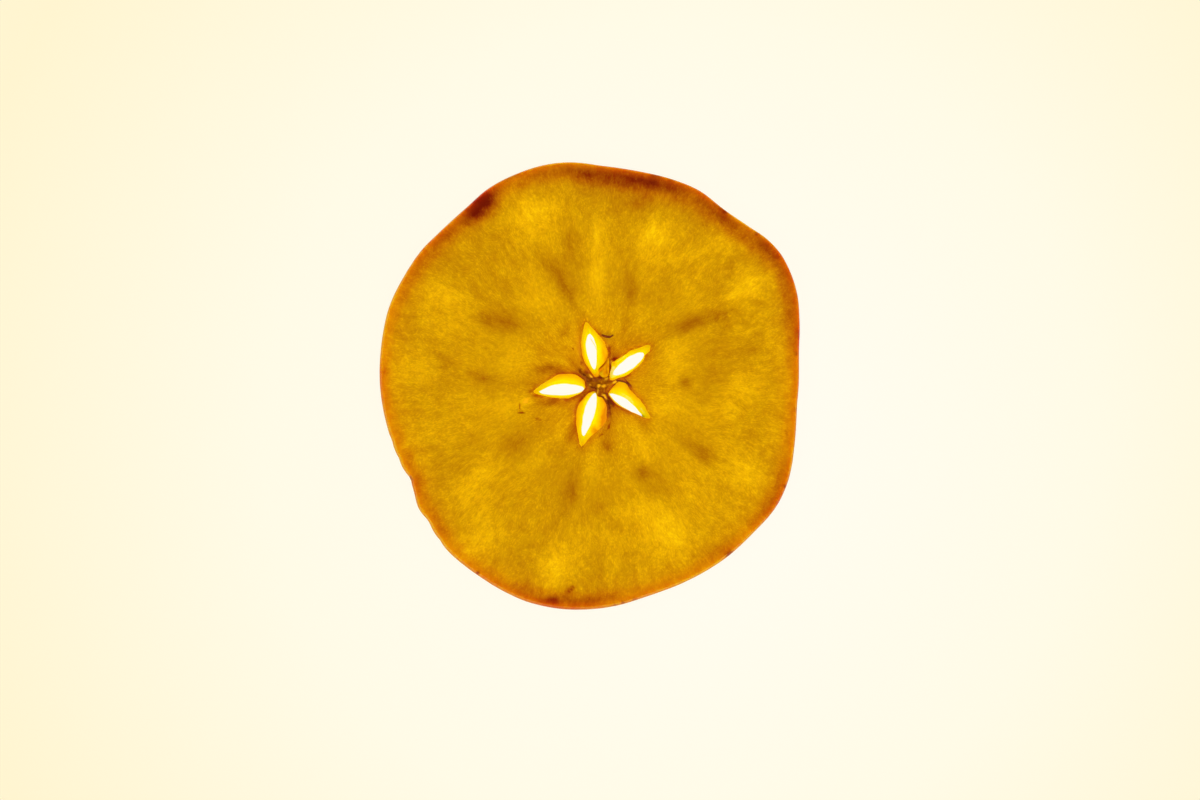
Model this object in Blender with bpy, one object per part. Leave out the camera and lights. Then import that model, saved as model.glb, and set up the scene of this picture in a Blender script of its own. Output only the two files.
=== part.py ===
"""A thin slice cut across an apple, lying on its flat cut face, with five open seed cavities.

Lengths below are in millimetres and angles in degrees, counter-clockwise from +X, seen from above.
The model is in metres, +Z up. Its origin is on the lower cut face, in the middle of the slice's box.
"""

import math

import bmesh
import bpy
from mathutils import Vector

MM = 0.001

# The slice
THICKNESS = 4.0
SKIN_INSET = 0.55  # the upper cut face is this much smaller all round, because the skin curves inwards
SKIN_INSET_SWING = 0.15  # added on the side that faces SKIN_INSET_ANGLE, taken off opposite
SKIN_INSET_ANGLE = 235.0
SKIN_CURVE = 1.6  # how strongly the skin curves between the two cut faces
RIM_POINTS = 300
SKIN_BANDS = 4

# The rim of the lower cut face: angle and distance from the origin
RIM = (
    (0, 35.8), (9, 36.3), (17, 37.6), (25, 39.1), (34, 39.9), (40, 39.6),
    (46, 38.7), (53, 38.2), (61, 38.6), (68, 38.4), (78, 38.0), (87, 38.1),
    (95, 38.8), (101, 39.0), (109, 38.8), (117, 38.4), (125, 37.5), (134, 37.2),
    (141, 37.4), (150, 37.3), (158, 37.3), (167, 36.8), (180, 36.2), (190, 35.7),
    (197, 35.4), (203, 35.2), (207, 34.9), (211, 35.4), (215, 36.2), (223, 36.8),
    (229, 37.4), (240, 37.8), (253, 38.5), (263, 38.5), (275, 38.0), (286, 37.3),
    (297, 37.3), (308, 37.5), (318, 37.6), (327, 38.0), (335, 37.6), (345, 36.4),
    (354, 35.7),
)

# Small dents where the knife tore the skin: angle, depth, width
DENTS = (
    (195.0, 0.12, 1.0),
    (200.5, 0.12, 1.4),
    (207.0, 0.12, 1.4),
    (219.5, 0.35, 3.0),
    (225.5, 0.10, 1.4),
)

# Each seed cavity narrows from a wide mouth in the upper face to a slit in the lower face. Both outlines
# run from a root, near the core, to a tip. Half-widths are given at STATIONS along that line, on the
# left and on the right of someone who looks from the root to the tip.
STATIONS = (0.12, 0.35, 0.62, 0.87)
CAVITIES = {
    "upper": {
        "mouth": {"root": (1.1, 1.6), "tip": (-0.6, 11.0),
                  "left": (0.9, 1.7, 1.7, 0.9), "right": (1.2, 2.5, 2.3, 0.8)},
        "slit": {"root": (0.7, 3.0), "tip": (-0.1, 9.1),
                 "left": (0.5, 0.8, 1.0, 0.7), "right": (0.4, 0.6, 0.8, 0.5)},
    },
    "left": {
        "mouth": {"root": (-0.9, 0.1), "tip": (-9.5, -0.9),
                  "left": (1.1, 1.7, 1.4, 0.7), "right": (2.0, 2.5, 2.1, 0.8)},
        "slit": {"root": (-1.1, -0.3), "tip": (-8.7, -0.8),
                 "left": (0.6, 0.9, 0.8, 0.5), "right": (0.6, 1.0, 1.1, 0.5)},
    },
    "lower": {
        "mouth": {"root": (0.7, -0.8), "tip": (-1.4, -10.0),
                  "left": (1.8, 2.7, 2.2, 0.8), "right": (1.4, 2.3, 1.9, 0.9)},
        "slit": {"root": (0.8, -1.1), "tip": (-1.2, -8.4),
                 "left": (0.5, 0.8, 0.7, 0.4), "right": (0.6, 1.0, 0.9, 0.6)},
    },
    "right_upper": {
        "mouth": {"root": (3.2, 1.2), "tip": (10.4, 7.2),
                  "left": (1.1, 2.0, 1.7, 0.7), "right": (0.9, 1.4, 1.3, 0.6)},
        "slit": {"root": (3.9, 2.2), "tip": (9.1, 5.8),
                 "left": (0.5, 0.8, 0.9, 0.6), "right": (0.7, 1.0, 1.0, 0.7)},
    },
    "right_lower": {
        "mouth": {"root": (3.1, -1.0), "tip": (10.1, -5.2),
                  "left": (2.4, 2.4, 1.8, 1.0), "right": (0.7, 1.0, 0.8, 0.5)},
        "slit": {"root": (3.3, -1.2), "tip": (9.1, -5.1),
                 "left": (0.5, 0.9, 0.7, 0.3), "right": (0.3, 0.6, 0.5, 0.2)},
    },
}
SLIT_DEPTH = 0.45  # straight wall above the lower face, before the cavity opens out
CUT_PAST = 1.0  # how far a cutter runs past both faces
CAVITY_POINTS = 36
CAVITY_BANDS = 5
SHARP_EDGE = 40.0  # edges that fold more than this stay crisp

# The finish of the flesh
FLESH_COLOUR = (0.69, 0.32, 0.02, 1.0)
FLESH_ROUGHNESS = 0.45


def clear_scene():
    for item in list(bpy.data.objects):
        bpy.data.objects.remove(item, do_unlink=True)


def new_collection(name):
    collection = bpy.data.collections.new(name)
    bpy.context.scene.collection.children.link(collection)
    return collection


def smooth_through(points, x):
    """The smooth curve through points sorted by x, from the second of them to the last but one."""
    after = max(2, next(i for i, point in enumerate(points) if point[0] >= x))
    (x0, y0), (x1, y1), (x2, y2), (x3, y3) = points[after - 2 : after + 2]
    slope_1 = (y2 - y0) / (x2 - x0)
    slope_2 = (y3 - y1) / (x3 - x1)
    step = x2 - x1
    t = (x - x1) / step
    rise = y1 * (2 * t**3 - 3 * t**2 + 1) + y2 * (3 * t**2 - 2 * t**3)
    return rise + step * (slope_1 * (t**3 - 2 * t**2 + t) + slope_2 * (t**3 - t**2))


def add_loft(name, rings, collection):
    """A closed solid through rings of points, from the lowest ring to the highest."""
    bm = bmesh.new()
    loops = []
    for ring in rings:
        verts = [bm.verts.new(point) for point in ring]
        loops.append([bm.edges.new((verts[i - 1], verts[i])) for i in range(len(verts))])
    for lower, upper in zip(loops, loops[1:]):
        bmesh.ops.bridge_loops(bm, edges=lower + upper)
    bmesh.ops.holes_fill(bm, edges=loops[0] + loops[-1], sides=0)
    bmesh.ops.recalc_face_normals(bm, faces=bm.faces)
    mesh = bpy.data.meshes.new(name)
    bm.to_mesh(mesh)
    bm.free()
    item = bpy.data.objects.new(name, mesh)
    collection.objects.link(item)
    return item


def rim_distance(angle):
    """How far the rim of the lower face is from the origin at an angle from 0 to 360."""
    before = tuple((a - 360, r) for a, r in RIM[-2:])
    beyond = tuple((a + 360, r) for a, r in RIM[:2])
    distance = smooth_through(before + RIM + beyond, angle)
    for at, depth, width in DENTS:
        along = math.radians(angle - at) * distance
        distance -= depth * math.exp(-((2 * along / width) ** 2))
    return distance


def skin_inset(angle, height):
    """How far the skin lies inside the lower rim, at a share of the slice's height."""
    swing = SKIN_INSET_SWING * math.cos(math.radians(angle - SKIN_INSET_ANGLE))
    return (SKIN_INSET + swing) * height**SKIN_CURVE


def rim_point(angle, height):
    distance = rim_distance(angle) - skin_inset(angle, height)
    turn = math.radians(angle)
    return Vector((distance * math.cos(turn), distance * math.sin(turn), height * THICKNESS)) * MM


def add_slice(collection):
    """The whole slice, lofted from the lower rim to the upper one."""
    heights = [band / SKIN_BANDS for band in range(SKIN_BANDS + 1)]
    angles = [360 * i / RIM_POINTS for i in range(RIM_POINTS)]
    rings = [[rim_point(angle, height) for angle in angles] for height in heights]
    return add_loft("apple_slice", rings, collection)


def half_width(widths, turn):
    """Half-width at a turn of 0 degrees, the root, to 180 degrees, the tip."""
    at = [math.degrees(math.acos(1 - 2 * station)) for station in STATIONS]
    points = [(-at[0], -widths[0]), (0, 0), *zip(at, widths), (180, 0), (360 - at[-1], -widths[-1])]
    return smooth_through(points, turn)


def outline_point(outline, turn):
    """A point of a cavity's outline: down its left side from 0 to 180 degrees, then back up its right."""
    root = Vector(outline["root"])
    along = Vector(outline["tip"]) - root
    leftwards = Vector((-along.y, along.x)).normalized()
    share = (1 - math.cos(math.radians(turn))) / 2
    if turn <= 180:
        aside = half_width(outline["left"], turn)
    else:
        aside = -half_width(outline["right"], 360 - turn)
    return root + along * share + leftwards * aside


def cavity_levels():
    """Heights of a cutter's rings, and how far each has opened from the slit towards the mouth."""
    levels = [(-CUT_PAST, 0.0)]
    rise = THICKNESS + CUT_PAST - SLIT_DEPTH
    for band in range(CAVITY_BANDS + 1):
        turn = math.pi / 2 * band / CAVITY_BANDS
        levels.append((SLIT_DEPTH + rise * (1 - math.cos(turn)), math.sin(turn)))
    return levels


def cavity_ring(cavity, height, opened):
    ring = []
    for i in range(CAVITY_POINTS):
        turn = 360 * i / CAVITY_POINTS
        place = outline_point(cavity["slit"], turn).lerp(outline_point(cavity["mouth"], turn), opened)
        ring.append(Vector((place.x, place.y, height)) * MM)
    return ring


def add_cavity_cutter(name, cavity, collection):
    """The room of one seed cavity, which is cut out of the slice."""
    rings = [cavity_ring(cavity, height, opened) for height, opened in cavity_levels()]
    cutter = add_loft(f"{name}_cavity", rings, collection)
    cutter.hide_render = True
    cutter.display_type = "WIRE"
    return cutter


def cut_out(item, cutter):
    cut = item.modifiers.new(cutter.name, "BOOLEAN")
    cut.operation = "DIFFERENCE"
    cut.solver = "EXACT"
    cut.object = cutter


def flesh_material():
    material = bpy.data.materials.new("apple_flesh")
    material.use_nodes = True
    shader = material.node_tree.nodes["Principled BSDF"]
    shader.inputs["Base Color"].default_value = FLESH_COLOUR
    shader.inputs["Roughness"].default_value = FLESH_ROUGHNESS
    shader.inputs["Metallic"].default_value = 0.0
    return material


def main():
    clear_scene()
    parts = new_collection("apple_slice")
    cutters = new_collection("seed_cavities")
    apple_slice = add_slice(parts)
    apple_slice.data.materials.append(flesh_material())
    apple_slice.data.shade_smooth()
    apple_slice.data.set_sharp_from_angle(angle=math.radians(SHARP_EDGE))
    for name, cavity in CAVITIES.items():
        cut_out(apple_slice, add_cavity_cutter(name, cavity, cutters))


main()
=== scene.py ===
"""The looks of a thin apple slice, cut across the core, that lies on a pale glowing board.

The scene is in metres, in the part's own frame: +Z is up out of the cut face and +Y is the top of the
picture. Places on the slice are written in millimetres and angles in degrees, counter-clockwise from +X.
"""

import math

import bpy
import numpy as np
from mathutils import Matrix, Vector, noise
from mathutils.bvhtree import BVHTree


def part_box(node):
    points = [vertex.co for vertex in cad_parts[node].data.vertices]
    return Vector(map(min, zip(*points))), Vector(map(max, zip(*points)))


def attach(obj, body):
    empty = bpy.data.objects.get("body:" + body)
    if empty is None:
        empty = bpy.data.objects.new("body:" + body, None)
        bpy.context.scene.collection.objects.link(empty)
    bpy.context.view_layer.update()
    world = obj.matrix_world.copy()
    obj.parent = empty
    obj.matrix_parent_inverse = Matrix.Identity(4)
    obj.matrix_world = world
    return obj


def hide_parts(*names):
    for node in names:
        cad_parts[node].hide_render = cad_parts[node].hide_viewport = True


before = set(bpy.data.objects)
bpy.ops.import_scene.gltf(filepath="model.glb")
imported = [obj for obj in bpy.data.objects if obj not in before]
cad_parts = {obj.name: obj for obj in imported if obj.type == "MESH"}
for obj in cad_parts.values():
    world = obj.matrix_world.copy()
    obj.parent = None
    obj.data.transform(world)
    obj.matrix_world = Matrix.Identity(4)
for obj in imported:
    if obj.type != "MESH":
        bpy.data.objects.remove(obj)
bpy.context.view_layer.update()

MM = 0.001
slice_low, slice_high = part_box("apple_slice")
THICKNESS = (slice_high.z - slice_low.z) / MM
SAME_PLACE = 0.001  # corners closer together than this are merged
WALL_MARGIN = 0.1  # a face whose middle is this close to a cut face belongs to that cut face
CORE = (1.1, 0.5)  # the middle of the core, on the cut face
CORE_REACH = 15.0  # every seed cavity lies within this distance of the core
FINE_REACH = 11.5  # the core's fine marks lie within this one
FINE_FROM = 0.3  # the faces are finest above this share of the thickness
TORN_SPOT = (-11.2, -3.4)  # a torn bit of flesh outside the left cavity
TORN_REACH = 2.8
SMOOTH_BELOW = 38  # edges sharper than this angle stay crisp

# The camera looks straight down, as in the picture
PICTURE_WIDTH = 206.3  # what the picture's width covers on the board
PICTURE_MIDDLE = (1.63, -2.23)
LENS = 85.0
SENSOR = 36.0

# Relief of the cut faces, the skin and the cavity walls
SKIN_LIP = 0.09  # the flesh shrinks this far below the skin's edge
LIP_WIDTH = 0.4
CORE_DIP = 0.20
DIP_RADIUS = 13.0
BUNDLE_DIP = 0.07
FIBRE_RIDGES = 0.035
FIBRES_FULL = 15.0  # the ridges have their full height from this distance from the core
CLEAR_DEPTH = 0.7  # ridges and bundles fade out this close to the skin and the cavities
KNIFE_WAVES = 0.012
KNIFE_WAVE_LENGTH = 2.7
KNIFE_DIRECTION = 24.0
KNIFE_SWAY = 2.0
SKIN_WAVES = 0.05
WALL_RIPPLE = 0.06
WALL_BAND = 0.5  # how far into the flesh the relief of skin and cavity walls reaches
MOUTH_JITTER = 0.10
LOWER_SHARE = 0.5  # the lower cut face has this share of the upper one's relief

# How the marks below are put on
CRISP_EDGE = (1.15, 0.35)  # a crisp mark fades in between these shares of its size
RAGGEDNESS = 0.22  # how far the edges of the crisp marks stray
FORM_TONE = 1.55  # times the strengths of BUNDLES and BRIGHT_FLESH
STAIN_TONE = 0.38  # times those of BROWNED and BRUISES

# Places where a cavity's mouth bulges or is torn: across, up, how far it moves across and up, and how
# far around the place that reaches
MOUTH_MOVES = (
    (3.75, 3.8, -0.12, 0.45, 0.5),
    (5.2, 0.2, 0.12, 0.80, 1.0),
    (2.4, -3.4, 0.35, 0.10, 1.2),
    (2.2, -6.0, 0.50, -0.15, 1.3),
    (1.4, -1.3, -0.25, -0.40, 0.5),
    (-8.4, 0.0, -0.12, 0.18, 1.2),
    (-9.4, -0.9, -0.20, 0.05, 0.6),
    (9.9, -4.2, -0.12, -0.10, 0.8),
    (10.1, -5.1, 0.15, -0.15, 0.5),
    (2.8, 5.9, 0.12, 0.0, 0.6),
    (-0.5, 10.6, -0.15, 0.15, 0.7),
    (9.3, 5.3, -0.15, 0.15, 0.3),
    (9.9, 6.2, 0.18, -0.05, 0.35),
    (5.6, 5.5, 0.14, -0.30, 1.2),
    (7.6, 6.7, 0.05, -0.12, 0.8),
    (10.2, 7.0, -0.12, -0.18, 0.5),
    (3.3, 1.8, 0.25, 0.10, 0.6),
    (-5.6, 1.8, 0.0, 0.18, 1.0),
    (-1.1, 0.9, 0.16, 0.12, 0.7),
    (-1.4, -9.6, -0.10, -0.15, 0.7),
)

# Soft marks on the flesh, each an oval: across, up, direction, half-length, half-width, strength.
# In the first two lists the strength darkens or brightens the flesh's tone, which runs from 0 to 1.
BUNDLES = (
    (-6.2, 19.8, 122, 3.6, 1.6, -0.105),
    (-4.0, 15.8, 120, 3.0, 0.7, -0.050),
    (-3.4, 24.4, 95, 2.2, 1.1, -0.065),
    (-8.6, 21.6, 150, 2.2, 1.4, -0.040),
    (6.8, 16.6, 88, 3.0, 1.3, -0.110),
    (5.6, 9.8, 80, 2.8, 0.9, -0.045),
    (17.4, 11.0, 26, 3.4, 1.2, -0.125),
    (23.0, 12.6, 12, 2.2, 0.9, -0.060),
    (16.1, 0.8, 0, 1.1, 1.0, -0.110),
    (20.6, 1.9, 6, 3.2, 1.5, -0.050),
    (19.4, -11.4, -45, 2.1, 1.4, -0.090),
    (16.5, -9.7, -35, 2.8, 1.0, -0.045),
    (9.0, -14.6, 90, 1.4, 1.1, -0.110),
    (11.1, -17.2, 130, 2.2, 1.8, -0.060),
    (-3.2, -17.9, 86, 2.8, 1.1, -0.095),
    (-5.1, -22.3, 70, 3.0, 1.4, -0.035),
    (1.8, -20.6, 92, 3.6, 2.2, -0.055),
    (1.5, -30.0, 92, 4.0, 1.8, -0.040),
    (-12.9, -9.6, 30, 2.3, 1.9, -0.070),
    (-18.6, 1.6, -10, 2.9, 1.2, -0.090),
    (-24.5, 4.6, -30, 2.8, 1.4, -0.040),
    (-18.0, 11.7, -12, 3.0, 1.4, -0.080),
    (-14.0, 10.8, -10, 2.4, 1.7, -0.075),
    (-22.0, 21.0, 45, 4.0, 2.4, -0.010),
    (0.3, 34.6, 0, 3.4, 2.0, -0.055),
    (26.0, 5.6, 0, 3.4, 1.8, -0.035),
)
BRIGHT_FLESH = (
    (-9.0, 30.0, 95, 4.2, 3.8, 0.080),
    (11.4, 25.6, 80, 3.6, 2.8, 0.055),
    (0.9, 17.4, 90, 3.8, 2.0, 0.075),
    (1.2, 25.0, 90, 5.0, 1.5, 0.060),
    (27.0, 17.0, 38, 3.6, 2.2, 0.060),
    (24.0, 15.6, 35, 1.6, 0.6, 0.060),
    (27.6, -0.9, 0, 3.2, 2.4, 0.045),
    (27.0, -15.2, 100, 3.8, 3.2, 0.075),
    (13.1, -24.6, 125, 5.4, 4.0, 0.098),
    (-6.0, -30.2, 82, 4.2, 3.4, 0.060),
    (-19.6, -15.8, 45, 5.2, 2.8, 0.085),
    (-29.4, 2.9, 0, 3.2, 2.8, 0.018),
    (-25.2, 16.0, -30, 3.6, 2.6, 0.060),
    (-10.0, 14.6, 0, 3.0, 2.4, 0.050),
    (-12.1, 4.1, 0, 2.6, 2.2, 0.045),
    (14.4, 5.4, 0, 3.0, 2.6, 0.060),
    (13.1, -3.2, 0, 3.0, 2.4, 0.040),
    (9.0, -9.6, -60, 2.6, 1.0, 0.040),
    (-0.1, -13.7, 90, 2.8, 1.3, 0.035),
    (22.8, 24.1, 0, 2.8, 2.4, 0.030),
    (31.0, -7.4, 90, 2.6, 1.6, 0.030),
    (-18.8, -27.4, 60, 4.4, 2.8, 0.045),
    (-14.0, -3.0, 10, 2.6, 1.7, 0.030),
    (-11.0, -2.4, 40, 1.4, 0.8, 0.040),
    (7.9, 11.6, 80, 2.2, 1.8, 0.030),
    (31.6, 8.2, 100, 3.4, 2.2, 0.075),
    (-33.4, 1.0, 92, 6.0, 2.4, 0.050),
    (33.6, -2.4, 90, 5.0, 2.4, 0.035),
    (8.7, -33.0, 15, 3.4, 2.0, 0.035),
    (17.4, 16.8, 40, 4.0, 2.8, 0.020),
    (-24.0, -10.6, 25, 3.4, 2.4, 0.025),
)
# Browned flesh round the core. From here on, a strength of 1 is the full mark.
BROWNED = (
    (1.1, 0.6, 0, 3.4, 3.0, 0.30),
    (-7.6, 3.0, 10, 2.4, 0.9, 0.45),
    (-5.4, 2.6, -20, 1.8, 0.7, 0.35),
    (-5.4, -2.4, 8, 2.8, 0.8, 0.30),
    (-7.5, -2.8, 14, 1.8, 0.5, 0.30),
    (-1.0, -1.8, 30, 1.2, 0.8, 0.45),
    (3.4, -3.4, -70, 2.6, 1.0, 0.50),
    (2.7, -7.6, 80, 2.6, 0.9, 0.42),
    (3.0, -10.4, 90, 1.2, 1.1, 0.55),
    (5.6, -3.9, -25, 2.2, 0.8, 0.38),
    (4.6, 1.5, 5, 2.2, 0.5, 0.45),
    (-4.2, 9.5, 40, 1.2, 0.8, 0.42),
    (-2.2, 3.0, 120, 2.4, 0.9, 0.30),
    (2.7, 8.6, -20, 1.6, 1.0, 0.30),
    (4.0, 5.6, 100, 2.2, 0.7, 0.45),
    (8.0, 8.5, 30, 1.9, 0.9, 0.32),
    (9.6, -6.6, -30, 1.5, 1.0, 0.36),
    (-3.0, -8.0, 80, 2.4, 0.9, 0.36),
    (-10.4, 0.3, -15, 1.6, 0.7, 0.25),
    (11.9, 4.6, 0, 1.3, 1.1, 0.12),
)
# Bruises near the skin
BRUISES = (
    (-19.2, 31.1, 36, 2.8, 1.5, 0.85),
    (-21.0, 28.4, 40, 2.8, 1.6, 0.30),
    (-26.0, 24.8, 42, 2.2, 1.2, 0.20),
    (-30.6, 17.4, 60, 4.0, 2.4, 0.14),
    (-0.8, 36.4, -12, 2.4, 0.9, 0.28),
    (4.8, 35.4, -6, 3.6, 1.1, 0.40),
    (9.4, 35.0, -6, 2.2, 1.0, 0.24),
    (13.1, 34.6, -18, 2.8, 1.1, 0.34),
    (9.0, 32.4, -10, 5.5, 2.6, 0.36),
    (19.5, 28.2, -38, 5.0, 2.4, 0.12),
    (23.0, 29.0, -38, 2.4, 1.0, 0.30),
    (30.5, 23.8, -50, 3.0, 1.3, 0.25),
    (33.4, 12.6, -80, 2.4, 1.0, 0.15),
    (24.0, -27.8, 38, 3.0, 1.0, 0.40),
    (29.4, -21.5, 50, 3.0, 1.2, 0.15),
    (-6.2, -36.5, 2, 2.4, 0.6, 0.60),
    (-3.5, -34.6, 30, 0.9, 0.5, 0.35),
    (2.6, -35.6, 10, 2.6, 0.7, 0.22),
    (-29.6, -16.4, 70, 1.2, 1.0, 0.25),
    (-25.4, -24.8, 130, 2.4, 1.2, 0.10),
    (-32.8, -8.4, 100, 1.5, 1.0, 0.15),
    (0.0, -36.4, 0, 3.6, 1.0, 0.16),
    (27.0, 22.5, -48, 4.6, 2.4, 0.07),
    (-35.1, 2.9, 90, 1.3, 0.7, 0.30),
)
# The brown core, and small crisp marks: dark ones in the flesh, pale ones where the core has torn open,
# painted bright where light from the board shows through these thin spots
BROWN_CORE = (
    (1.0, 0.7, 0, 2.9, 1.5, 1.0),
    (1.6, -0.9, -50, 1.9, 1.0, 1.0),
    (3.0, -2.4, -60, 1.9, 0.7, 1.0),
    (-1.0, 1.9, -50, 1.5, 0.7, 0.9),
    (3.0, 1.2, 0, 1.1, 0.8, 0.8),
    (-0.9, -1.3, 30, 0.9, 0.6, 0.8),
    (3.0, -3.9, -80, 1.7, 0.5, 0.9),
    (-1.6, 2.6, -55, 1.1, 0.35, 0.8),
)
DARK_MARKS = (
    (-1.2, 2.2, -42, 1.4, 0.22, 0.7),
    (-0.2, 1.1, 20, 0.9, 0.25, 0.5),
    (0.6, 1.4, 0, 0.9, 0.18, 0.6),
    (1.9, 1.6, 10, 0.8, 0.22, 0.7),
    (0.6, -0.2, -30, 0.8, 0.18, 0.5),
    (1.5, -1.4, -50, 0.5, 0.24, 1.1),
    (2.0, -1.55, -58, 0.9, 0.16, 1.1),
    (2.9, -1.6, -60, 1.0, 0.2, 1.0),
    (2.7, -0.3, 80, 0.7, 0.18, 0.6),
    (-0.75, 2.5, -50, 0.5, 0.3, 0.6),
    (2.95, -3.4, -80, 1.8, 0.2, 0.8),
    (2.9, -6.6, 75, 0.9, 0.18, 0.7),
    (1.7, -8.3, 40, 0.7, 0.16, 0.6),
    (0.3, -0.9, 40, 0.9, 0.15, 0.5),
    (4.0, 4.85, 60, 0.42, 0.28, 0.5),
    (3.6, 4.5, 60, 0.4, 0.2, 0.5),
    (3.40, 3.2, 92, 1.9, 0.20, 1.0),
    (3.4, -2.7, -50, 1.1, 0.5, 0.75),
    (6.1, 0.8, -25, 0.8, 0.2, 0.9),
    (6.7, 0.3, -42, 0.6, 0.2, 0.8),
    (4.3, 0.2, 8, 0.6, 0.14, 0.9),
    (3.25, 6.2, 92, 1.3, 0.2, 0.6),
    (-1.5, 4.1, 60, 0.3, 0.25, 0.5),
    (-2.9, 6.4, 80, 0.28, 0.22, 0.8),
    (-10.0, -0.7, 20, 1.0, 0.3, 0.4),
    (-9.3, -1.5, -10, 0.9, 0.3, 0.4),
    (-11.75, -4.4, -8, 0.75, 0.22, 1.0),
    (-11.7, -4.2, 0, 0.3, 0.25, 0.5),
    (-12.1, -3.4, 92, 0.9, 0.15, 0.7),
    (-9.1, -5.4, -25, 0.38, 0.22, 0.6),
    (-8.6, -5.6, 20, 0.3, 0.22, 0.5),
    (-3.2, -34.4, 45, 1.0, 0.3, 0.5),
    (33.4, -7.8, 0, 0.4, 0.4, 0.3),
    (-18.3, 1.45, 10, 0.45, 0.3, 0.25),
)
PALE_MARKS = (
    (0.15, 1.7, -58, 0.46, 0.20, 1.2),
    (-11.0, -2.35, 38, 0.85, 0.36, 0.8),
    (-0.1, 0.4, 0, 0.26, 0.20, 0.7),
    (1.4, 0.15, 0, 0.32, 0.32, 1.3),
    (2.3, 0.15, 0, 0.36, 0.28, 1.0),
    (1.85, 0.2, 0, 0.36, 0.16, 0.4),
    (2.55, 1.3, 0, 0.38, 0.24, 0.7),
    (1.3, -0.7, 100, 0.40, 0.17, 0.6),
    (1.9, -1.4, 0, 0.24, 0.18, 0.6),
    (2.45, -1.65, -58, 0.80, 0.24, 1.1),
    (4.1, 0.6, 8, 0.65, 0.22, 1.2),
    (3.72, 3.4, 92, 1.1, 0.18, 1.0),
    (3.8, 2.0, 92, 0.9, 0.22, 0.8),
)
# The cavities' lining, with the board's glow through it painted in: orange where the strength is above
# 0, pale yellow where it is below
LINING_GLOW_MARKS = (
    (2.15, -5.1, -102, 2.3, 0.55, 0.50),
    (2.5, 5.2, 108, 1.9, 0.45, 0.25),
    (5.6, 0.2, -20, 1.1, 0.5, -0.16),
    (9.1, -4.1, -50, 1.1, 0.5, -0.55),
    (-1.6, -4.6, -100, 2.8, 0.6, 0.22),
    (1.5, -3.6, -95, 3.0, 0.7, 0.22),
    (0.7, -7.7, -65, 1.5, 0.7, 0.60),
    (3.7, 2.8, 90, 1.5, 0.5, -0.55),
    (5.2, 5.0, 40, 1.8, 0.4, -0.25),
    (6.6, -2.0, -40, 1.6, 0.4, -0.20),
)
# Dark dashes on the skin and close behind it
SKIN_MARKS = (
    (-13.4, 35.8, 22, 2.4, 0.35, 0.6),
    (-19.7, 31.8, 40, 1.0, 0.45, 0.7),
    (-21.2, 30.2, 40, 0.7, 0.45, 0.6),
    (11.2, 36.1, -12, 1.2, 0.50, 0.8),
    (13.8, 35.4, -12, 0.9, 0.40, 0.5),
    (22.1, 30.5, -38, 1.4, 0.45, 0.7),
    (23.0, 29.9, -38, 0.5, 0.50, 0.9),
    (28.4, 26.2, -40, 0.45, 0.45, 0.8),
    (35.2, 15.7, -75, 0.5, 0.40, 0.7),
    (35.5, 8.9, 90, 0.9, 0.40, 0.6),
    (35.1, 5.7, 90, 0.5, 0.40, 0.6),
    (35.1, -3.9, 90, 0.6, 0.40, 0.4),
    (33.3, -17.0, 65, 0.5, 0.45, 0.8),
    (23.8, -28.55, 33, 1.1, 0.50, 1.0),
    (7.5, -36.4, 15, 0.6, 0.40, 0.6),
    (5.6, -36.9, 12, 0.4, 0.45, 0.9),
    (4.2, -37.3, 8, 0.6, 0.40, 0.6),
    (-19.3, -31.8, -35, 0.35, 0.45, 1.0),
    (-30.7, -15.6, -50, 0.7, 0.40, 0.8),
)
# Fine dark veins, most of them beyond the tips of the cavities: across, up, direction, half-length
VEINS = (
    (-3.3, 15.6, 121, 6.4),
    (14.3, 9.4, 29, 5.6),
    (21.0, 12.1, 13, 3.4),
    (-2.2, -14.0, 79, 5.2),
    (-13.8, 0.3, -16, 5.6),
    (-21.1, 3.3, -31, 4.4),
    (6.1, 12.2, 79, 4.4),
    (33.3, 7.0, -25, 3.2),
    (12.4, -29.6, -18, 1.7),
)
VEIN_HALF_WIDTH = 0.13

# Threads that were torn loose: five places along each one, its height on the slice and its thickness
TORN_FIBRE = ((1.9, 8.9), (2.5, 8.6), (3.1, 8.4), (3.5, 8.5), (3.9, 8.9))
PEELED_EDGE = ((4.4, 1.1), (5.1, 1.1), (5.9, 0.9), (6.5, 0.6), (6.9, 0.1))
SLIT_THREAD = ((0.0, 8.3), (0.4, 7.7), (0.8, 7.1), (1.0, 6.6), (1.1, 6.1))
FIBRE_HEIGHT = THICKNESS - 0.22
SLIT_THREAD_HEIGHT = 0.9
TORN_FIBRE_THICKNESS = 0.46
PEELED_EDGE_THICKNESS = 0.34
SLIT_THREAD_THICKNESS = 0.16
THREAD_SHARES = (0.7, 1.0, 0.9, 0.7, 0.4)  # how thick a thread is at each of its five places

# A flap of core lining beside the upper cavity, round its outline from a corner over the cavity
FLAP = (
    (1.4, 2.4), (1.2, 3.1), (2.1, 3.8), (2.7, 4.6), (3.1, 5.2),
    (3.3, 4.0), (3.15, 2.9), (3.2, 2.1), (2.7, 1.5), (1.8, 1.6),
)
FLAP_HEIGHT = THICKNESS - 0.08  # where it grows from the cut face
FLAP_LINE = 2.6  # to the left of this line it reaches out over the cavity
FLAP_HANG = 0.12  # how much lower it is for each millimetre past that line
FLAP_RIM = 0.35
FLAP_FOLD = 0.25
FLAP_HOLLOW = 0.04  # how much lower it is inside its rim
FLAP_THICKNESS = 0.14

# How red the flesh behind the skin is: angle, half-width, strength
BLUSHES = (
    (14, 9, -0.02),
    (43, 21, 0.50),
    (75, 13, 0.60),
    (93, 9, 0.45),
    (106, 11, 0.18),
    (120, 5, 0.70),
    (136, 14, 0.20),
    (166, 8, -0.16),
    (181, 8, -0.14),
    (210, 8, 0.04),
    (262, 14, 0.30),
    (285, 8, -0.08),
    (314, 9, -0.12),
    (330, 9, 0.20),
)
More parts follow.
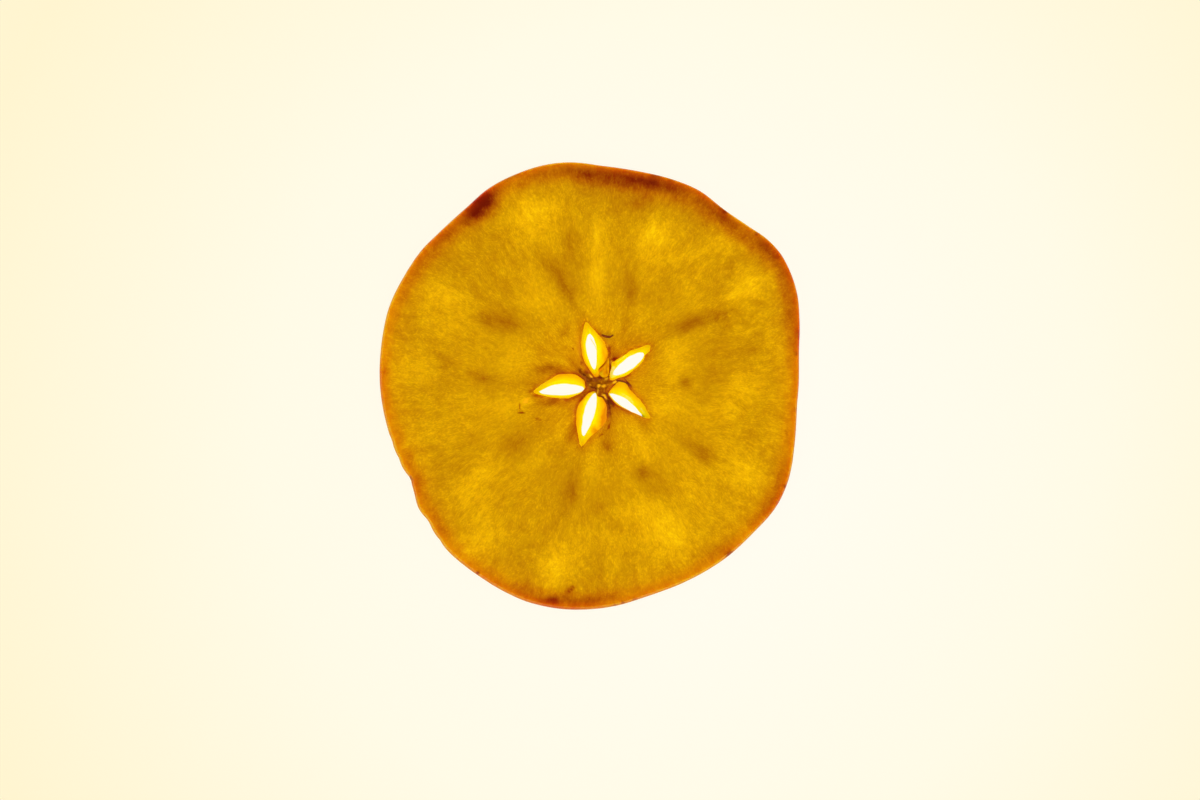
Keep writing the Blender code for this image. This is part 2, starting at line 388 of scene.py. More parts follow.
# How red the skin itself is, in the same form
SKIN_BLUSHES = (
    (0, 7, 0.30),
    (14, 7, 0.66),
    (31, 8, 0.52),
    (60, 8, 0.40),
    (80, 10, 0.38),
    (107, 8, 0.26),
    (120, 5, 0.70),
    (136, 9, 0.32),
    (150, 8, 0.08),
    (180, 8, 0.34),
    (210, 6, 0.24),
    (240, 8, 0.26),
    (262, 12, 0.48),
    (286, 8, 0.20),
    (310, 13, 0.04),
    (330, 8, 0.44),
    (347, 5, 0.26),
)


# Small tools


def pick_only(piece):
    bpy.ops.object.select_all(action="DESELECT")
    piece.select_set(True)
    bpy.context.view_layer.objects.active = piece


def edit_all(piece):
    """Opens one piece for editing, with all of it selected."""
    pick_only(piece)
    bpy.ops.object.mode_set(mode="EDIT")
    bpy.ops.mesh.select_all(action="SELECT")


def apply_modifier(piece, kind, **settings):
    modifier = piece.modifiers.new(kind.title(), kind)
    for name, value in settings.items():
        setattr(modifier, name, value)
    pick_only(piece)
    bpy.ops.object.modifier_apply(modifier=modifier.name)


def fade(value, start, end):
    """A soft step from 0 at the start to 1 at the end. The start may be the higher one."""
    share = np.clip((value - start) / (end - start), 0, 1)
    return share * share * (3 - 2 * share)


def bell(away, reach):
    """1 where the distance is 0, from where it fades out like a bell curve."""
    return np.exp(-((away / reach) ** 2))


def ovals(x, y, marks, crisp=False):
    """The strengths of oval marks, summed at every point. Soft ones fade out like a bell curve."""
    total = np.zeros_like(x)
    for across, up, direction, half_length, half_width, strength in marks:
        cosine = math.cos(math.radians(direction))
        sine = math.sin(math.radians(direction))
        along = ((x - across) * cosine + (y - up) * sine) / half_length
        aside = ((y - up) * cosine - (x - across) * sine) / half_width
        away = np.hypot(along, aside)
        total += strength * (fade(away, *CRISP_EDGE) if crisp else bell(away, 1))
    return total


def noise_at(columns, shift=0.0):
    """Smooth noise from -1 to 1 at each row of three columns."""
    return np.array([noise.noise(Vector(row)) for row in np.stack(columns, axis=1) + shift])


def face_noise(x, y, scale, shift):
    """Noise that is the same for points that lie one above the other."""
    return noise_at((x * scale, y * scale, 0 * x), shift)


# The slice itself


def near(place, spot, reach):
    return math.hypot(place.x - spot[0], place.y - spot[1]) < reach


def fine_copy_of_solid():
    """The solid's own shape with small even faces, the smallest round the core, ready for relief."""
    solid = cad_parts["apple_slice"]
    piece = bpy.data.objects.new("cut_slice", solid.data.copy())
    bpy.context.scene.collection.objects.link(piece)
    piece.data.materials.clear()
    edit_all(piece)
    bpy.ops.mesh.remove_doubles(threshold=SAME_PLACE * MM)
    bpy.ops.object.mode_set(mode="OBJECT")
    apply_modifier(
        piece,
        "REMESH",
        mode="SHARP",
        octree_depth=8,
        scale=0.82,
        sharpness=1.0,
        use_remove_disconnected=False,
    )
    bpy.ops.object.mode_set(mode="EDIT")
    bpy.ops.mesh.select_mode(type="FACE")
    bpy.ops.mesh.select_all(action="DESELECT")
    bpy.ops.object.mode_set(mode="OBJECT")
    for face in piece.data.polygons:
        centre = face.center / MM
        detailed = near(centre, CORE, FINE_REACH) or near(centre, TORN_SPOT, TORN_REACH)
        face.select = centre.z > FINE_FROM * THICKNESS and detailed
    bpy.ops.object.mode_set(mode="EDIT")
    bpy.ops.mesh.subdivide(number_cuts=1)
    bpy.ops.object.mode_set(mode="OBJECT")
    return piece


def read_points(mesh):
    points = np.empty(len(mesh.vertices) * 3)
    mesh.vertices.foreach_get("co", points)
    return points.reshape(-1, 3) / MM


def wall_distances(mesh, points):
    """Each point's distance to the skin and to the nearest cavity wall."""
    skin = []
    lining = []
    for face in mesh.polygons:
        centre = face.center / MM
        if WALL_MARGIN < centre.z < THICKNESS - WALL_MARGIN:
            wall = lining if near(centre, CORE, CORE_REACH) else skin
            wall.append(tuple(face.vertices))
    corners = points.tolist()
    trees = [BVHTree.FromPolygons(corners, faces) for faces in (skin, lining)]
    return [np.array([tree.find_nearest(corner)[3] for corner in corners]) for tree in trees]


def from_core(x, y):
    """Distance from the core, and the direction away from it."""
    distance = np.hypot(x - CORE[0], y - CORE[1])
    return distance, (x - CORE[0]) / distance, (y - CORE[1]) / distance


def face_relief(x, y, skin_depth, lining_depth, seed):
    """How far a cut face lies inside the solid: lip, dip, bundles, fibres and knife marks."""
    distance, toward_x, toward_y = from_core(x, y)
    clear = fade(np.minimum(skin_depth, lining_depth), 0.0, CLEAR_DEPTH)
    lip = 1 - np.exp(-skin_depth / LIP_WIDTH)
    dip = bell(distance, DIP_RADIUS) * (1 - 0.5 * bell(lining_depth, WALL_BAND))
    bundles = np.clip(-8 * ovals(x, y, BUNDLES), 0, 1)
    rays = noise_at((toward_x * 15, toward_y * 15, distance * 0.12), seed)
    fibres = rays * np.minimum(distance / FIBRES_FULL, 1)
    grain = face_noise(x, y, 0.8, seed)
    turn = math.radians(KNIFE_DIRECTION)
    sway = face_noise(x, y, 0.06, seed + 5)
    along = x * math.cos(turn) + y * math.sin(turn) + KNIFE_SWAY * sway
    waves = np.sin(along * 2 * math.pi / KNIFE_WAVE_LENGTH)
    rough = FIBRE_RIDGES * (fibres + 0.6 * grain) + KNIFE_WAVES * waves
    depth = SKIN_LIP * lip + CORE_DIP * dip + BUNDLE_DIP * bundles * clear + rough * clear
    return np.maximum(depth, 0)


def add_relief(mesh, points, skin_depth, lining_depth):
    """Gives the faces, the skin and the cavity walls their relief, and stays within the thickness."""
    x, y, z = points.T
    height = z / THICKNESS
    upper = face_relief(x, y, skin_depth, lining_depth, seed=0.37)
    lower = LOWER_SHARE * face_relief(x, y, skin_depth, lining_depth, seed=11.43)
    moved_z = z - upper * height**2 + lower * (1 - height) ** 2

    distance, toward_x, toward_y = from_core(x, y)
    waves = noise_at((toward_x * 12, toward_y * 12, z * 0.25)) + 0.4 * noise_at((x, y, z), 7.7)
    inwards = bell(skin_depth, WALL_BAND) * SKIN_WAVES * (0.7 + 0.5 * waves)
    on_wall = bell(lining_depth, WALL_BAND) * (distance < CORE_REACH)
    ripple = WALL_RIPPLE * (1 - np.abs(2 * height - 1))
    wide = (x * 0.9, y * 0.9, z * 0.2)
    sway_x = on_wall * (MOUTH_JITTER * noise_at(wide, 3.1) + ripple * noise_at((x, y, z), 9.2))
    sway_y = on_wall * (MOUTH_JITTER * noise_at(wide, 5.9) + ripple * noise_at((x, y, z), 2.6))
    for across, up, push_x, push_y, reach in MOUTH_MOVES:
        share = height**2 * np.exp(-((x - across) ** 2 + (y - up) ** 2) / reach**2)
        sway_x += push_x * share
        sway_y += push_y * share
    moved_x = x - toward_x * inwards + sway_x
    moved_y = y - toward_y * inwards + sway_y
    moved = np.stack((moved_x, moved_y, np.clip(moved_z, 0, THICKNESS)), axis=1) * MM
    mesh.vertices.foreach_set("co", moved.ravel())
    mesh.update()


def blush_at(x, y, blushes):
    """How red the slice is at each point's angle round it."""
    angle = np.degrees(np.arctan2(y, x)) % 360
    total = np.zeros_like(x)
    for middle, half_width, strength in blushes:
        away = (angle - middle + 180) % 360 - 180
        total += strength * bell(away, half_width)
    return total


def store_values(mesh, points, skin_depth, lining_depth):
    """Stores depths, tones and marks for each point, which the material reads by name."""
    x, y = points.T[:2]
    ragged_x = x + RAGGEDNESS * face_noise(x, y, 1.7, 2.2)
    ragged_y = y + RAGGEDNESS * face_noise(x, y, 1.7, 6.6)
    patchy = 1 + 0.7 * face_noise(x, y, 0.7, 4.8)

    def ragged(marks):
        return ovals(ragged_x, ragged_y, marks, crisp=True)

    bruises = ovals(x, y, BRUISES) * patchy
    stain = bruises + 0.75 * ovals(x, y, BROWNED) * patchy + 0.20 * bell(lining_depth, 1.0)
    forms = FORM_TONE * (ovals(x, y, BUNDLES) + ovals(x, y, BRIGHT_FLESH))
    forms = forms - 0.05 * bell(skin_depth, 3.6)
    stored = {
        "skin_depth": skin_depth,
        "lining_depth": lining_depth,
        "painted_tone": forms - STAIN_TONE * stain,
        "bruise": bruises,
        "brown_core": ragged(BROWN_CORE),
        "dark_marks": ragged(DARK_MARKS),
        "pale_marks": ragged(PALE_MARKS),
        "lining_glow": ragged(LINING_GLOW_MARKS),
        "skin_marks": ovals(x, y, SKIN_MARKS, crisp=True),
        "blush": blush_at(x, y, BLUSHES),
        "skin_blush": blush_at(x, y, SKIN_BLUSHES),
    }
    for name, values in stored.items():
        mesh.attributes.new(name, "FLOAT", "POINT").data.foreach_set("value", values)


def make_slice():
    piece = fine_copy_of_solid()
    points = read_points(piece.data)
    skin_depth, lining_depth = wall_distances(piece.data, points)
    add_relief(piece.data, points, skin_depth, lining_depth)
    store_values(piece.data, points, skin_depth, lining_depth)
    pick_only(piece)
    bpy.ops.object.shade_smooth_by_angle(angle=math.radians(SMOOTH_BELOW))
    piece.data.materials.append(slice_material())
    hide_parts("apple_slice")
    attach(piece, "root")


# Torn threads and the loose flap


def finish_piece(piece, material):
    """Points the faces out, smooths them, and sets the finish and what carries the piece."""
    edit_all(piece)
    bpy.ops.mesh.remove_doubles(threshold=SAME_PLACE * MM)
    bpy.ops.mesh.normals_make_consistent(inside=False)
    bpy.ops.object.mode_set(mode="OBJECT")
    bpy.ops.object.shade_smooth()
    piece.data.materials.clear()
    piece.data.materials.append(material)
    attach(piece, "root")


def make_thread(name, route, height, thickness, material):
    """A thread along five places, thickest near the second one."""
    bpy.ops.object.select_all(action="DESELECT")
    bpy.ops.curve.primitive_nurbs_path_add(radius=MM, location=(0, 0, 0))
    piece = bpy.context.object
    piece.name = name
    spline = piece.data.splines[0]
    for point, (across, up), share in zip(spline.points, route, THREAD_SHARES):
        point.co = (across * MM, up * MM, height * MM, 1)
        point.radius = share
    piece.data.bevel_depth = thickness / 2 * MM
    piece.data.bevel_resolution = 2
    piece.data.use_fill_caps = True
    bpy.ops.object.convert(target="MESH")
    finish_piece(piece, material)


def make_flap(material):
    """A thin tongue of lining that lies on the cut face and reaches out over the cavity."""
    bpy.ops.object.select_all(action="DESELECT")
    bpy.ops.mesh.primitive_circle_add(vertices=len(FLAP), radius=MM, fill_type="NGON")
    piece = bpy.context.object
    piece.name = "torn_flap"
    for vertex, (across, up) in zip(piece.data.vertices, FLAP):
        hang = FLAP_HANG * max(0.0, FLAP_LINE - across)
        vertex.co = Vector((across, up, FLAP_HEIGHT - hang)) * MM
    edit_all(piece)
    bpy.ops.mesh.inset(thickness=FLAP_RIM * MM)
    bpy.ops.transform.translate(value=(0, 0, -FLAP_HOLLOW * MM))
    bpy.ops.mesh.inset(thickness=FLAP_FOLD * MM)
    bpy.ops.object.mode_set(mode="OBJECT")
    apply_modifier(piece, "SOLIDIFY", thickness=FLAP_THICKNESS * MM, offset=0.0)
    apply_modifier(piece, "SUBSURF", levels=2, render_levels=2)
    finish_piece(piece, material)


# Materials


def linear(red, green, blue):
    """A colour given in screen levels from 0 to 255, as the light that a material reflects."""
    light = []
    for level in (red, green, blue):
        share = level / 255
        light.append(share / 12.92 if share <= 0.04045 else ((share + 0.055) / 1.055) ** 2.4)
    return (*light, 1.0)


class Wire:
    """One socket of a material. Sums written with it add Math nodes to the same material."""

    def __init__(self, tree, socket):
        self.tree = tree
        self.socket = socket

    def node(self, kind, settings=None, inputs=None, output=0):
        """Adds a node: first its settings, then a number, a colour or a Wire for each socket."""
        made = self.tree.nodes.new(kind)
        settings = dict(settings or {})
        stops = settings.pop("stops", None)
        for name, value in settings.items():
            setattr(made, name, value)
        if stops:
            band = made.color_ramp
            while len(band.elements) < len(stops):
                band.elements.new(0.5)
            for element, (position, colour) in zip(band.elements, stops):
                element.position = position
                element.color = colour
        for name, value in (inputs or {}).items():
            if isinstance(value, Wire):
                self.tree.links.new(value.socket, made.inputs[name])
            else:
                made.inputs[name].default_value = value
        return Wire(self.tree, made.outputs[output])

    def math(self, operation, *values):
        return self.node("ShaderNodeMath", {"operation": operation}, dict(enumerate(values)))

    def __add__(self, other):
        return self.math("ADD", self, other)

    __radd__ = __add__

    def __sub__(self, other):
        return self.math("SUBTRACT", self, other)

    def __rsub__(self, other):
        return self.math("SUBTRACT", other, self)

    def __mul__(self, other):
        return self.math("MULTIPLY", self, other)

    __rmul__ = __mul__

    def __truediv__(self, other):
        return self.math("DIVIDE", self, other)

    def capped(self):
        """The value held between 0 and 1."""
        return self.node("ShaderNodeClamp", inputs={"Value": self})

    def step(self, start, end):
        """A soft step from 0 at the start to 1 at the end."""
        inputs = {"Value": self, "From Min": start, "From Max": end}
        return self.node("ShaderNodeMapRange", {"interpolation_type": "SMOOTHSTEP"}, inputs)

    def ramp(self, stops):
        """A colour from a band of (position, colour) stops."""
        return self.node("ShaderNodeValToRGB", {"stops": stops}, {"Fac": self})

    def blended(self, other, share):
        """This colour, mixed with another by a share from 0 to 1."""
        inputs = {0: share, 6: self, 7: other}
        return self.node("ShaderNodeMix", {"data_type": "RGBA"}, inputs, output=2)

    def vector(self, operation, *others):
        """Vector maths on these coordinates, and on others where the operation takes more."""
        inputs = dict(enumerate((self, *others)))
        return self.node("ShaderNodeVectorMath", {"operation": operation}, inputs)

    def length(self):
        return self.node("ShaderNodeVectorMath", {"operation": "LENGTH"}, {0: self}, output=1)

    def up(self):
        """The third of these coordinates."""
        return self.node("ShaderNodeSeparateXYZ", inputs={0: self}, output=2)

    def scaled(self, factor):
        return self.node("ShaderNodeVectorMath", {"operation": "SCALE"}, {0: self, "Scale": factor})

    def noise(self, scale, detail=0.0, roughness=0.5):
        """Noise about 0, at these coordinates. One step of it is 1 / scale long."""
        inputs = {"Vector": self, "Scale": scale, "Detail": detail, "Roughness": roughness}
        return self.node("ShaderNodeTexNoise", inputs=inputs) - 0.5

    def spot(self, across, up, direction, half_length, half_width):
        """1 in the middle of a small oval mark, and 0 outside it."""
        deep = 1000.0  # the mark runs through the slice's whole thickness
        inputs = {
            "Vector": self,
            "Location": (across, up, 0),
            "Rotation": (0, 0, math.radians(direction)),
            "Scale": (half_length, half_width, deep),
        }
        inside = self.node("ShaderNodeMapping", {"vector_type": "TEXTURE"}, inputs)
        return inside.length().step(*CRISP_EDGE)

    def stored(self, name):
        """A number that the piece stores for each of its points."""
        return self.node("ShaderNodeAttribute", {"attribute_name": name}, output=2)


def new_material(name, **constants):
    """A material, its shader, and its Object coordinates in millimetres."""
    material = bpy.data.materials.new(name)
    material.use_nodes = True
    shader = material.node_tree.nodes["Principled BSDF"]
    for socket, value in constants.items():
        shader.inputs[socket.replace("_", " ")].default_value = value
    start = Wire(material.node_tree, None)
    place = start.node("ShaderNodeTexCoord", output=3).scaled(1 / MM)
    return material, shader, place


def connect(shader, **values):
    for socket, value in values.items():
        value.tree.links.new(value.socket, shader.inputs[socket.replace("_", " ")])


# Painted light: the deep amber of the flesh and rim tones is the colour of the board's glow shining up
# through the slice
BACKLIT_FLESH_TONES = (
    (0.10, linear(68, 27, 0)),
    (0.25, linear(135, 68, 0)),
    (0.41, linear(168, 104, 0)),
    (0.49, linear(182, 123, 0)),
    (0.60, linear(203, 152, 0)),
    (0.69, linear(224, 174, 1)),
    (0.80, linear(242, 204, 6)),
)
BACKLIT_RIM_TONES = (
    (0.10, linear(114, 22, 0)),
    (0.22, linear(142, 50, 0)),
    (0.34, linear(164, 83, 0)),
    (0.43, linear(184, 107, 0)),
    (0.50, linear(195, 124, 0)),
    (0.60, linear(212, 149, 0)),
    (0.80, linear(238, 200, 6)),
)
SKIN_TONES = (
    (0.00, linear(215, 142, 3)),
    (0.25, linear(206, 111, 2)),
    (0.50, linear(195, 80, 1)),
    (0.75, linear(177, 54, 1)),
    (1.00, linear(150, 28, 1)),
)
DARK_SKIN = linear(108, 12, 1)
# Painted light: the lining is pale yellow low down, where the board's glow shines through its thin wall,
# and orange up at the mouth
LINING_GLOW_TONES = (
    (0.00, linear(255, 245, 120)),
    (0.12, linear(255, 234, 12)),
    (0.28, linear(255, 222, 2)),
    (0.48, linear(255, 208, 2)),
    (0.75, linear(248, 190, 3)),
    (1.00, linear(230, 152, 4)),
)
BROWN_TONES = (
    (0.22, linear(96, 36, 0)),
    (0.42, linear(134, 64, 0)),
    (0.60, linear(156, 86, 1)),
    (0.80, linear(204, 136, 8)),
)
# Painted light: torn, thin spots of the core glowing with the board's light behind them
TORN_CORE_GLOW = linear(248, 190, 18)
# The flesh's tone, and how strongly each thing changes it
MEAN_TONE = 0.604
FIBRE_TONE = 0.30
GRAIN_TONE = 0.15
SPECK_TONE = 0.22
RAY_TONE = 0.12
CLOUD_TONE = 0.18
VEIN_TONE = 0.06
MARK_TONE = 0.38
WALL_TONE = 0.22
BLUSH_TONE = 0.30
# Streaks: steps round the core, steps for each millimetre outwards, detail, roughness
INNER_FIBRES = (9.0, 0.3, 3.0, 0.72)
OUTER_FIBRES = (26.0, 0.45, 3.0, 0.76)
INNER_SPECKS = (50.0, 2.4, 1.0, 0.6)
OUTER_SPECKS = (130.0, 2.4, 1.0, 0.6)
BROAD_RAYS = (4.5, 0.03, 1.0, 0.5)
SKIN_STRIPES = (60.0, 0.02, 2.0, 0.7)
# Noise: steps for each millimetre, detail, roughness
GRAIN = (1.1, 3.0, 0.72)
CLOUDS = (0.13, 1.0, 0.5)
UNEVENNESS = (0.5, 3.0, 0.6)
SHREDS = (2.0, 3.0, 0.7)
LINING_CLOUDS = (0.7, 2.0, 0.6)
DASH_GAPS = (0.8, 2.0, 0.7)
# The rim's width, and how much wider it is where the skin is red
RIM_WIDTH = 2.6
BLUSH_WIDTH = 3.6
# Distances from the core between which things fade in
INNER_FLESH = (24.0, 10.0)
WARM_MIDDLE = (17.0, 3.0)
CROWDED_CORE = (9.0, 3.0)
CAVITY_TIPS = (6.5, 10.0)
# Depths from the cavity walls and from the skin between which things fade in
WALL_SHADE = (0.65, 0.12)
LINING_EDGE = (0.14, 0.06)
SKIN_EDGE = (0.16, 0.05)
PEEL_GLOW = (1.6, 0.1)


def slice_material():
    """Flesh, rim, skin and cavity lining in one material, told apart by their stored depths."""
    material, shader, place = new_material(
        "apple_cut_flesh",
        Subsurface_Weight=1.0,
        Subsurface_Radius=(1.0, 0.75, 0.03),
        Subsurface_Scale=3.0 * MM,
        Specular_IOR_Level=0.0,
        Coat_Roughness=0.18,
    )
    skin_depth = place.stored("skin_depth")
    lining_depth = place.stored("lining_depth")
    blush = place.stored("blush")
    height = place.up() / THICKNESS

    # Coordinates round the core, in which a noise becomes streaks that point away from it
    bending = {"Vector": place, "Scale": 0.16, "Detail": 1.0}
    sway = place.node("ShaderNodeTexNoise", inputs=bending, output=1)
    swayed = place.vector("ADD", sway.vector("SUBTRACT", (0.5, 0.5, 0.5)).scaled(3.0))
    outwards = swayed.vector("MULTIPLY", (1, 1, 0)).vector("SUBTRACT", (*CORE, 0))
    distance = outwards.length()
    direction = outwards.vector("NORMALIZE")

    def streaks(across, along, detail, roughness):
        """Noise that changes fast round the core, and slowly with the distance from it."""
        depth = place.node("ShaderNodeCombineXYZ", inputs={2: distance * along})
        return direction.scaled(across).vector("ADD", depth).noise(1.0, detail, roughness)

    # Coarser round the core, and finer towards the skin
    inner = distance.step(*INNER_FLESH)
    outer = 1 - inner
    fibres = streaks(*INNER_FIBRES) * inner * 0.8 + streaks(*OUTER_FIBRES) * outer
    specks = streaks(*INNER_SPECKS) * inner * 1.3 + streaks(*OUTER_SPECKS) * outer
    specks = specks * (specks * 1.8 + 1)
    grain = place.noise(*GRAIN)
    rays = streaks(*BROAD_RAYS)
    clouds = place.noise(*CLOUDS)
    mottle = fibres * FIBRE_TONE + grain * GRAIN_TONE
    pattern = mottle + specks * SPECK_TONE + rays * RAY_TONE + clouds * CLOUD_TONE

    # The rim, the veins and the dark marks darken the tone
    uneven = place.noise(*UNEVENNESS)
    rim = skin_depth.step(blush * BLUSH_WIDTH + RIM_WIDTH + uneven * 2.5, 0.8)
    rim_shade = (blush + uneven * 0.5) * BLUSH_TONE + 0.035
    veins = sum(place.spot(*vein, VEIN_HALF_WIDTH) for vein in VEINS)
    veins = veins * (fibres * 3.0 + 0.6).capped()
    crowded = distance.step(*CROWDED_CORE)
    edge = lining_depth.step(*WALL_SHADE) * (uneven * 2.4 + 0.3 + crowded * 0.7).capped()
    dark_marks = place.stored("dark_marks")
    scars = dark_marks * MARK_TONE + edge * WALL_TONE
    tone = place.stored("painted_tone") + pattern + MEAN_TONE
    tone = tone - rim * rim_shade - veins * VEIN_TONE - scars

    # Flesh near the skin, the core and the bruises is redder than the rest
    bruise = place.stored("bruise")
    warm = distance.step(*WARM_MIDDLE) * 0.75
    warm = warm + skin_depth.step(6.0 + uneven * 3.0, 1.5) * 0.5
    redness = (rim + bruise + dark_marks + edge + warm).capped()
    # The flesh's colour, painted as it looks with the board's light shining up through it
    flesh = tone.ramp(BACKLIT_FLESH_TONES).blended(tone.ramp(BACKLIT_RIM_TONES), redness)

    # The brown core with its torn bits, and the lining of the cavities, with light shining through both
    # painted in
    shreds = place.noise(*SHREDS) * 1.3 + 0.5
    browned = (shreds - dark_marks * 0.3).ramp(BROWN_TONES)
    flesh = flesh.blended(browned, place.stored("brown_core").capped() * 0.9)
    # Torn bits of the core are painted pale, as light from the board shows through them
    torn = place.stored("pale_marks").capped() * (1 - dark_marks.capped())
    flesh = flesh.blended(TORN_CORE_GLOW, torn * 0.95)
    # Painted light: the lining turns paler towards the slit and towards the cavities' tips, where the
    # board's glow shows through
    at_tips = distance.step(*CAVITY_TIPS)
    shade = height + place.noise(*LINING_CLOUDS) * 0.35 + place.stored("lining_glow")
    glowing_lining = (shade - (shade - 0.16) * at_tips * 0.8).ramp(LINING_GLOW_TONES)
    on_lining = lining_depth.step(*LINING_EDGE)

    # The striped skin, which shines into the flesh behind it, and its dark dashes
    stripes = streaks(*SKIN_STRIPES)
    redder = place.stored("skin_blush") + stripes * 0.6 + uneven * 0.3 + bruise * 0.3
    peel = redder.ramp(SKIN_TONES)
    on_skin = skin_depth.step(*SKIN_EDGE)
    dashes = place.stored("skin_marks") * (place.noise(*DASH_GAPS) * 2.0 + 1.0).capped()
    flesh = flesh.blended(peel, skin_depth.step(*PEEL_GLOW) * 0.5)
    colour = flesh.blended(glowing_lining, on_lining).blended(peel, on_skin)
    colour = colour.blended(DARK_SKIN, dashes.capped() * 0.85)

    rough = (mottle * 0.4 + 0.55) * (1 - on_skin * 0.2)
    wet = 0.10 - on_lining * 0.08
    ridges = {"Strength": 0.35, "Distance": 0.06 * MM, "Height": mottle + specks * 0.4}
    bump = place.node("ShaderNodeBump", inputs=ridges)
    connect(shader, Base_Color=colour, Roughness=rough, Coat_Weight=wet, Normal=bump)
    return material


THREAD_CLOUDS = (2.4, 2.0, 0.6)
THREAD_ROUGHNESS = (3.0, 1.0, 0.5)
DRIED_TONES = (
    (0.3, linear(92, 30, 0)),
    (0.7, linear(140, 62, 1)),
)
PALE_TONES = (
    (0.3, linear(255, 236, 90)),
    (0.7, linear(255, 250, 170)),
)


def fibre_material(name, tones):
    """The colour of a torn thread, lighter in places."""
    material, shader, place = new_material(name, Specular_IOR_Level=0.1)
    shade = (place.noise(*THREAD_CLOUDS) + 0.5).ramp(tones)
    rough = place.noise(*THREAD_ROUGHNESS) * 0.4 + 0.6
    connect(shader, Base_Color=shade, Roughness=rough)
    return material


FLAP_CLOUDS = (1.1, 2.0, 0.6)
FLAP_TONES = (
    (0.25, linear(230, 124, 0)),
    (0.50, linear(244, 150, 1)),
    (0.75, linear(255, 182, 10)),
)
# Marks on the flap: across, up, direction, half-length, half-width
# Painted shade along a fold in the flap, and a dark line along its free edge that is partly the edge and
# partly the flap's painted shadow
FLAP_CREASE_SHADE = (2.75, 2.9, 97, 1.1, 0.20)
FLAP_EDGE_SHADOW = (2.0, 3.75, 47, 1.7, 0.42)
CREASE_SHADE_TONE = linear(200, 100, 0)
EDGE_SHADOW_TONE = linear(140, 56, 0)


def flap_material():
    """Thin core lining: orange and cloudy, with painted shade along a fold, and dark brown along the
    free edge, partly the edge itself and partly a painted shadow.
    """
    material, shader, place = new_material(
        "torn_lining",
        Subsurface_Weight=0.6,
        Subsurface_Radius=(1.0, 0.7, 0.03),
        Subsurface_Scale=0.8 * MM,
        Specular_IOR_Level=0.0,
    )
    cloud = place.noise(*FLAP_CLOUDS) * 1.4 + 0.5
    # Painted shade along the fold, and the free edge darkened partly as a painted shadow
    crease_shade = place.spot(*FLAP_CREASE_SHADE) * 0.5
    edge = place.spot(*FLAP_EDGE_SHADOW) * (cloud * 0.8 + 0.5).capped()
    shade = cloud.ramp(FLAP_TONES).blended(CREASE_SHADE_TONE, crease_shade).blended(EDGE_SHADOW_TONE, edge)
    rough = cloud * 0.3 + 0.35
    connect(shader, Base_Color=shade, Roughness=rough)
    return material


# The board, the light and the camera. Sizes are in metres here, apart from the board's glow.

BOARD_RADIUS = 3.0
BOARD_TOP = -0.0001  # just under the slice
BOARD_REFLECTS = 0.03
BOARD_GLOW = 0.975
GLOW_MIDDLE = (15.0, -8.0, 0.0)
GLOW_REACH = 130
GLOW_TONES = (
    (0.10, linear(255, 252, 241)),
    (0.55, linear(255, 250, 230)),
    (1.00, linear(255, 244, 208)),
)
LAMPS = 6
LAMP_SIZE = 0.45
LAMP_POWER = 0.95
LAMP_COLOUR = (1.0, 0.98, 0.94)
LAMP_DISTANCE = 0.74
LAMP_ASIDE = 0.5  # the share of that distance aside, and the share upwards
LAMP_UP = 0.87
SKY_TONES = (
    (0.00, linear(255, 248, 230)),
    (0.25, linear(215, 208, 196)),
    (0.80, linear(120, 118, 114)),
)


def make_board():
    """A pale board that glows softly, a little warmer towards its edges."""
    bpy.ops.object.select_all(action="DESELECT")
    middle = (0, 0, BOARD_TOP)
    bpy.ops.mesh.primitive_circle_add(
        vertices=96, radius=BOARD_RADIUS, fill_type="NGON", location=middle
    )
    bpy.ops.object.transform_apply(location=True, rotation=False, scale=False)
    board = bpy.context.object
    board.name = "pale_board"
    material, shader, place = new_material(
        "pale_board",
        Roughness=0.9,
        Specular_IOR_Level=0.0,
        Emission_Strength=BOARD_GLOW,
    )
    away = place.vector("SUBTRACT", GLOW_MIDDLE).length()
    tint = (away / GLOW_REACH).ramp(GLOW_TONES)
    connect(shader, Base_Color=tint.scaled(BOARD_REFLECTS), Emission_Color=tint)
    board.data.materials.append(material)


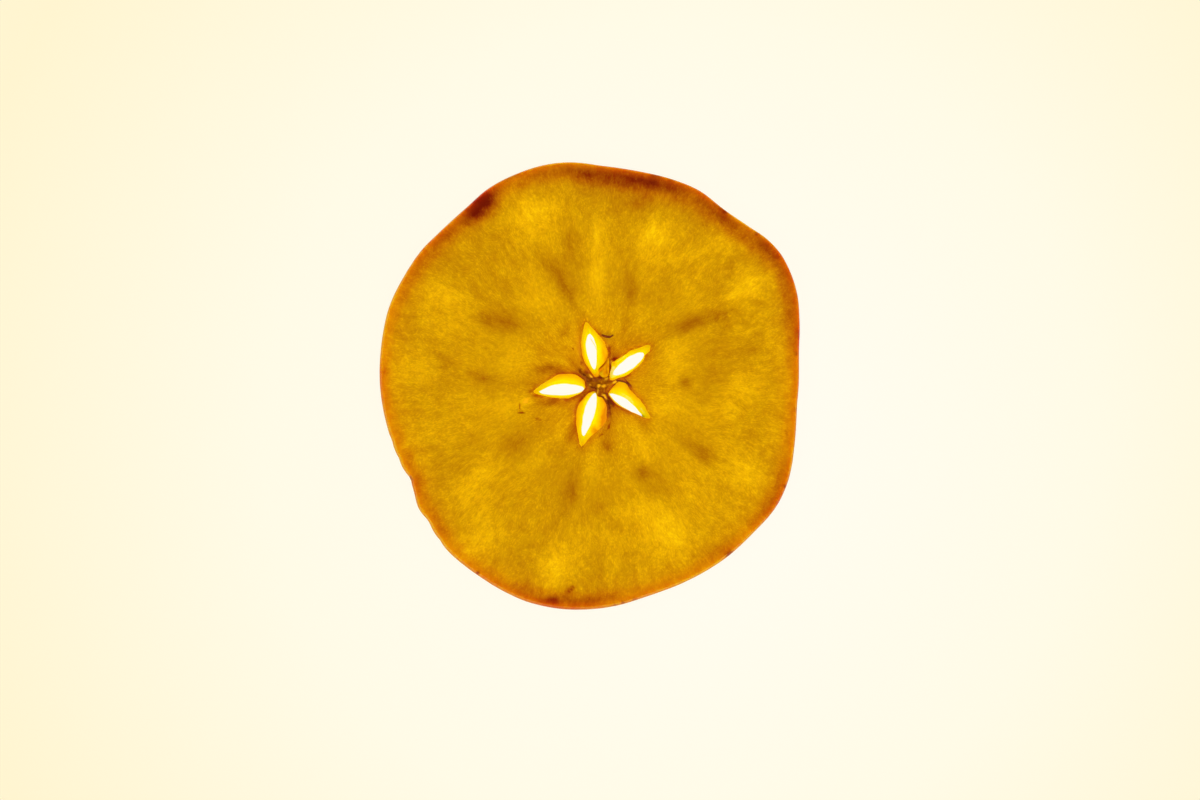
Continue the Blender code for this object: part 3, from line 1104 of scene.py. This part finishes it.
def make_lights():
    """Wide soft lamps in a ring, far enough aside that none of them shines back into the camera."""
    for i in range(LAMPS):
        turn = 2 * math.pi * (i + 0.25) / LAMPS
        data = bpy.data.lights.new(f"soft_lamp_{i}", "AREA")
        data.shape = "DISK"
        data.size = LAMP_SIZE
        data.energy = LAMP_POWER
        data.color = LAMP_COLOUR
        lamp = bpy.data.objects.new(data.name, data)
        aside = (math.cos(turn) * LAMP_ASIDE, math.sin(turn) * LAMP_ASIDE)
        lamp.location = Vector((*aside, LAMP_UP)) * LAMP_DISTANCE
        lamp.rotation_euler = lamp.location.to_track_quat("Z", "Y").to_euler()
        lamp.visible_camera = False
        bpy.context.scene.collection.objects.link(lamp)


def make_room():
    """A plain room, dim overhead and pale towards the horizon."""
    world = bpy.data.worlds.new("plain_room")
    world.use_nodes = True
    bpy.context.scene.world = world
    direction = Wire(world.node_tree, None).node("ShaderNodeTexCoord", output=0)
    sky = direction.up().ramp(SKY_TONES)
    world.node_tree.links.new(sky.socket, world.node_tree.nodes["Background"].inputs["Color"])


def make_camera():
    data = bpy.data.cameras.new("camera")
    data.lens = LENS
    data.sensor_width = SENSOR
    data.clip_start = 0.01
    camera = bpy.data.objects.new("camera", data)
    height = PICTURE_WIDTH * LENS / SENSOR
    camera.location = Vector((*PICTURE_MIDDLE, height)) * MM
    bpy.context.scene.collection.objects.link(camera)
    bpy.context.scene.camera = camera
    bpy.context.scene.view_settings.view_transform = "Standard"


def main():
    make_camera()
    make_room()
    make_lights()
    make_board()
    make_slice()
    dried = fibre_material("dried_fibre", DRIED_TONES)
    pale = fibre_material("pale_fibre", PALE_TONES)
    make_thread("torn_fibre", TORN_FIBRE, FIBRE_HEIGHT, TORN_FIBRE_THICKNESS, dried)
    make_thread("peeled_edge", PEELED_EDGE, FIBRE_HEIGHT, PEELED_EDGE_THICKNESS, dried)
    make_thread("slit_thread", SLIT_THREAD, SLIT_THREAD_HEIGHT, SLIT_THREAD_THICKNESS, pale)
    make_flap(flap_material())


main()
